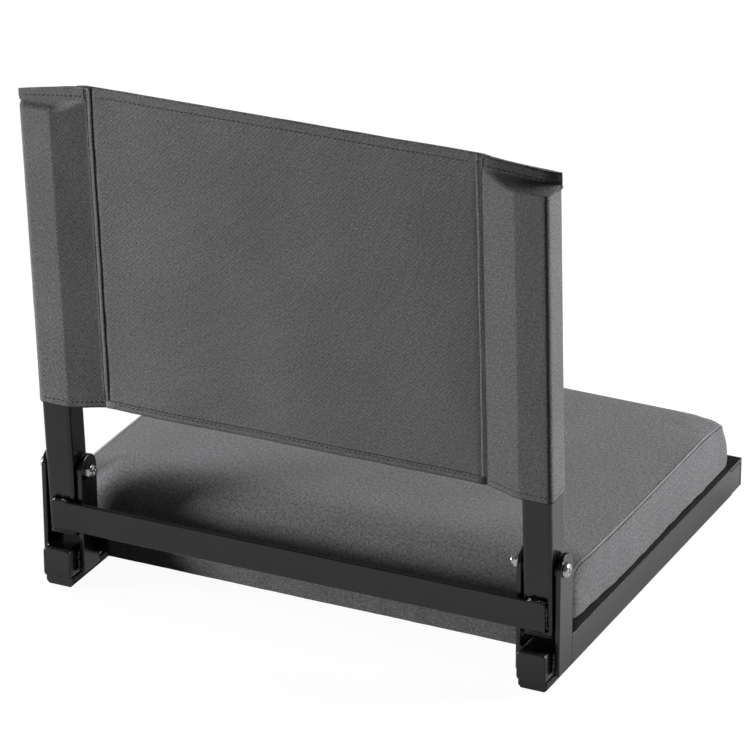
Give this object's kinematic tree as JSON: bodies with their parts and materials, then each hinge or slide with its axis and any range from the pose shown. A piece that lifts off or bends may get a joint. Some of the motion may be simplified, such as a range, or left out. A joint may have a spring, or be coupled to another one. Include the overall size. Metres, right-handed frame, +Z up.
{
  "type": "stadium chair",
  "caption": "Folding stadium chair with a grey padded seat on a black welded steel base and a grey canvas sling back that folds forward onto the seat.",
  "frame": {"origin": "middle of the footprint, on the surface that the anti-slip strips rest on", "axes": "+Z up, -Y the way the sitter faces, +X to the sitter's left"},
  "size_m": [0.4694, 0.4098, 0.4453],
  "materials": {
    "black_paint": "satin",
    "zinc_plate": "satin",
    "black_plastic": "satin",
    "black_rubber": "matte",
    "black_nylon": "satin",
    "plywood": "matte",
    "foam": "matte",
    "cover_fabric": "matte",
    "sling_canvas": "matte"
  },
  "bodies": {
    "base": {"side_rail_left": "black_paint", "side_rail_right": "black_paint", "front_rail": "black_paint", "rear_rail": "black_paint", "runner_left": "black_paint", "runner_right": "black_paint", "runner_cap_left": "black_plastic", "runner_cap_right": "black_plastic", "foot_strip_left": "black_rubber", "foot_strip_right": "black_rubber", "ear_outer_left": "black_paint", "ear_inner_left": "black_paint", "ear_outer_right": "black_paint", "ear_inner_right": "black_paint", "hinge_bolt_left": "zinc_plate", "hinge_bolt_right": "zinc_plate", "hinge_nut_left": "zinc_plate", "hinge_nut_right": "zinc_plate", "hinge_washer_outer_left": "black_nylon", "hinge_washer_inner_left": "black_nylon", "hinge_washer_outer_right": "black_nylon", "hinge_washer_inner_right": "black_nylon", "seat_board": "plywood", "seat_foam": "foam", "seat_cover": "cover_fabric", "board_screw_front_left": "zinc_plate", "board_screw_front_right": "zinc_plate", "board_screw_rear_left": "zinc_plate", "board_screw_rear_right": "zinc_plate"},
    "back": {"upright_left": "black_paint", "upright_right": "black_paint", "upright_top_plug_left": "black_plastic", "upright_top_plug_right": "black_plastic", "upright_bottom_plug_left": "black_plastic", "upright_bottom_plug_right": "black_plastic", "crossbar": "black_paint", "sling": "sling_canvas"}
  },
  "joints": [
    {"name": "back_fold", "type": "hinge", "parent": "base", "child": "back", "pos_m": [0, 0.17211, 0.1006], "axis": [1, 0, 0], "range_deg": [0, 93]}
  ]
}
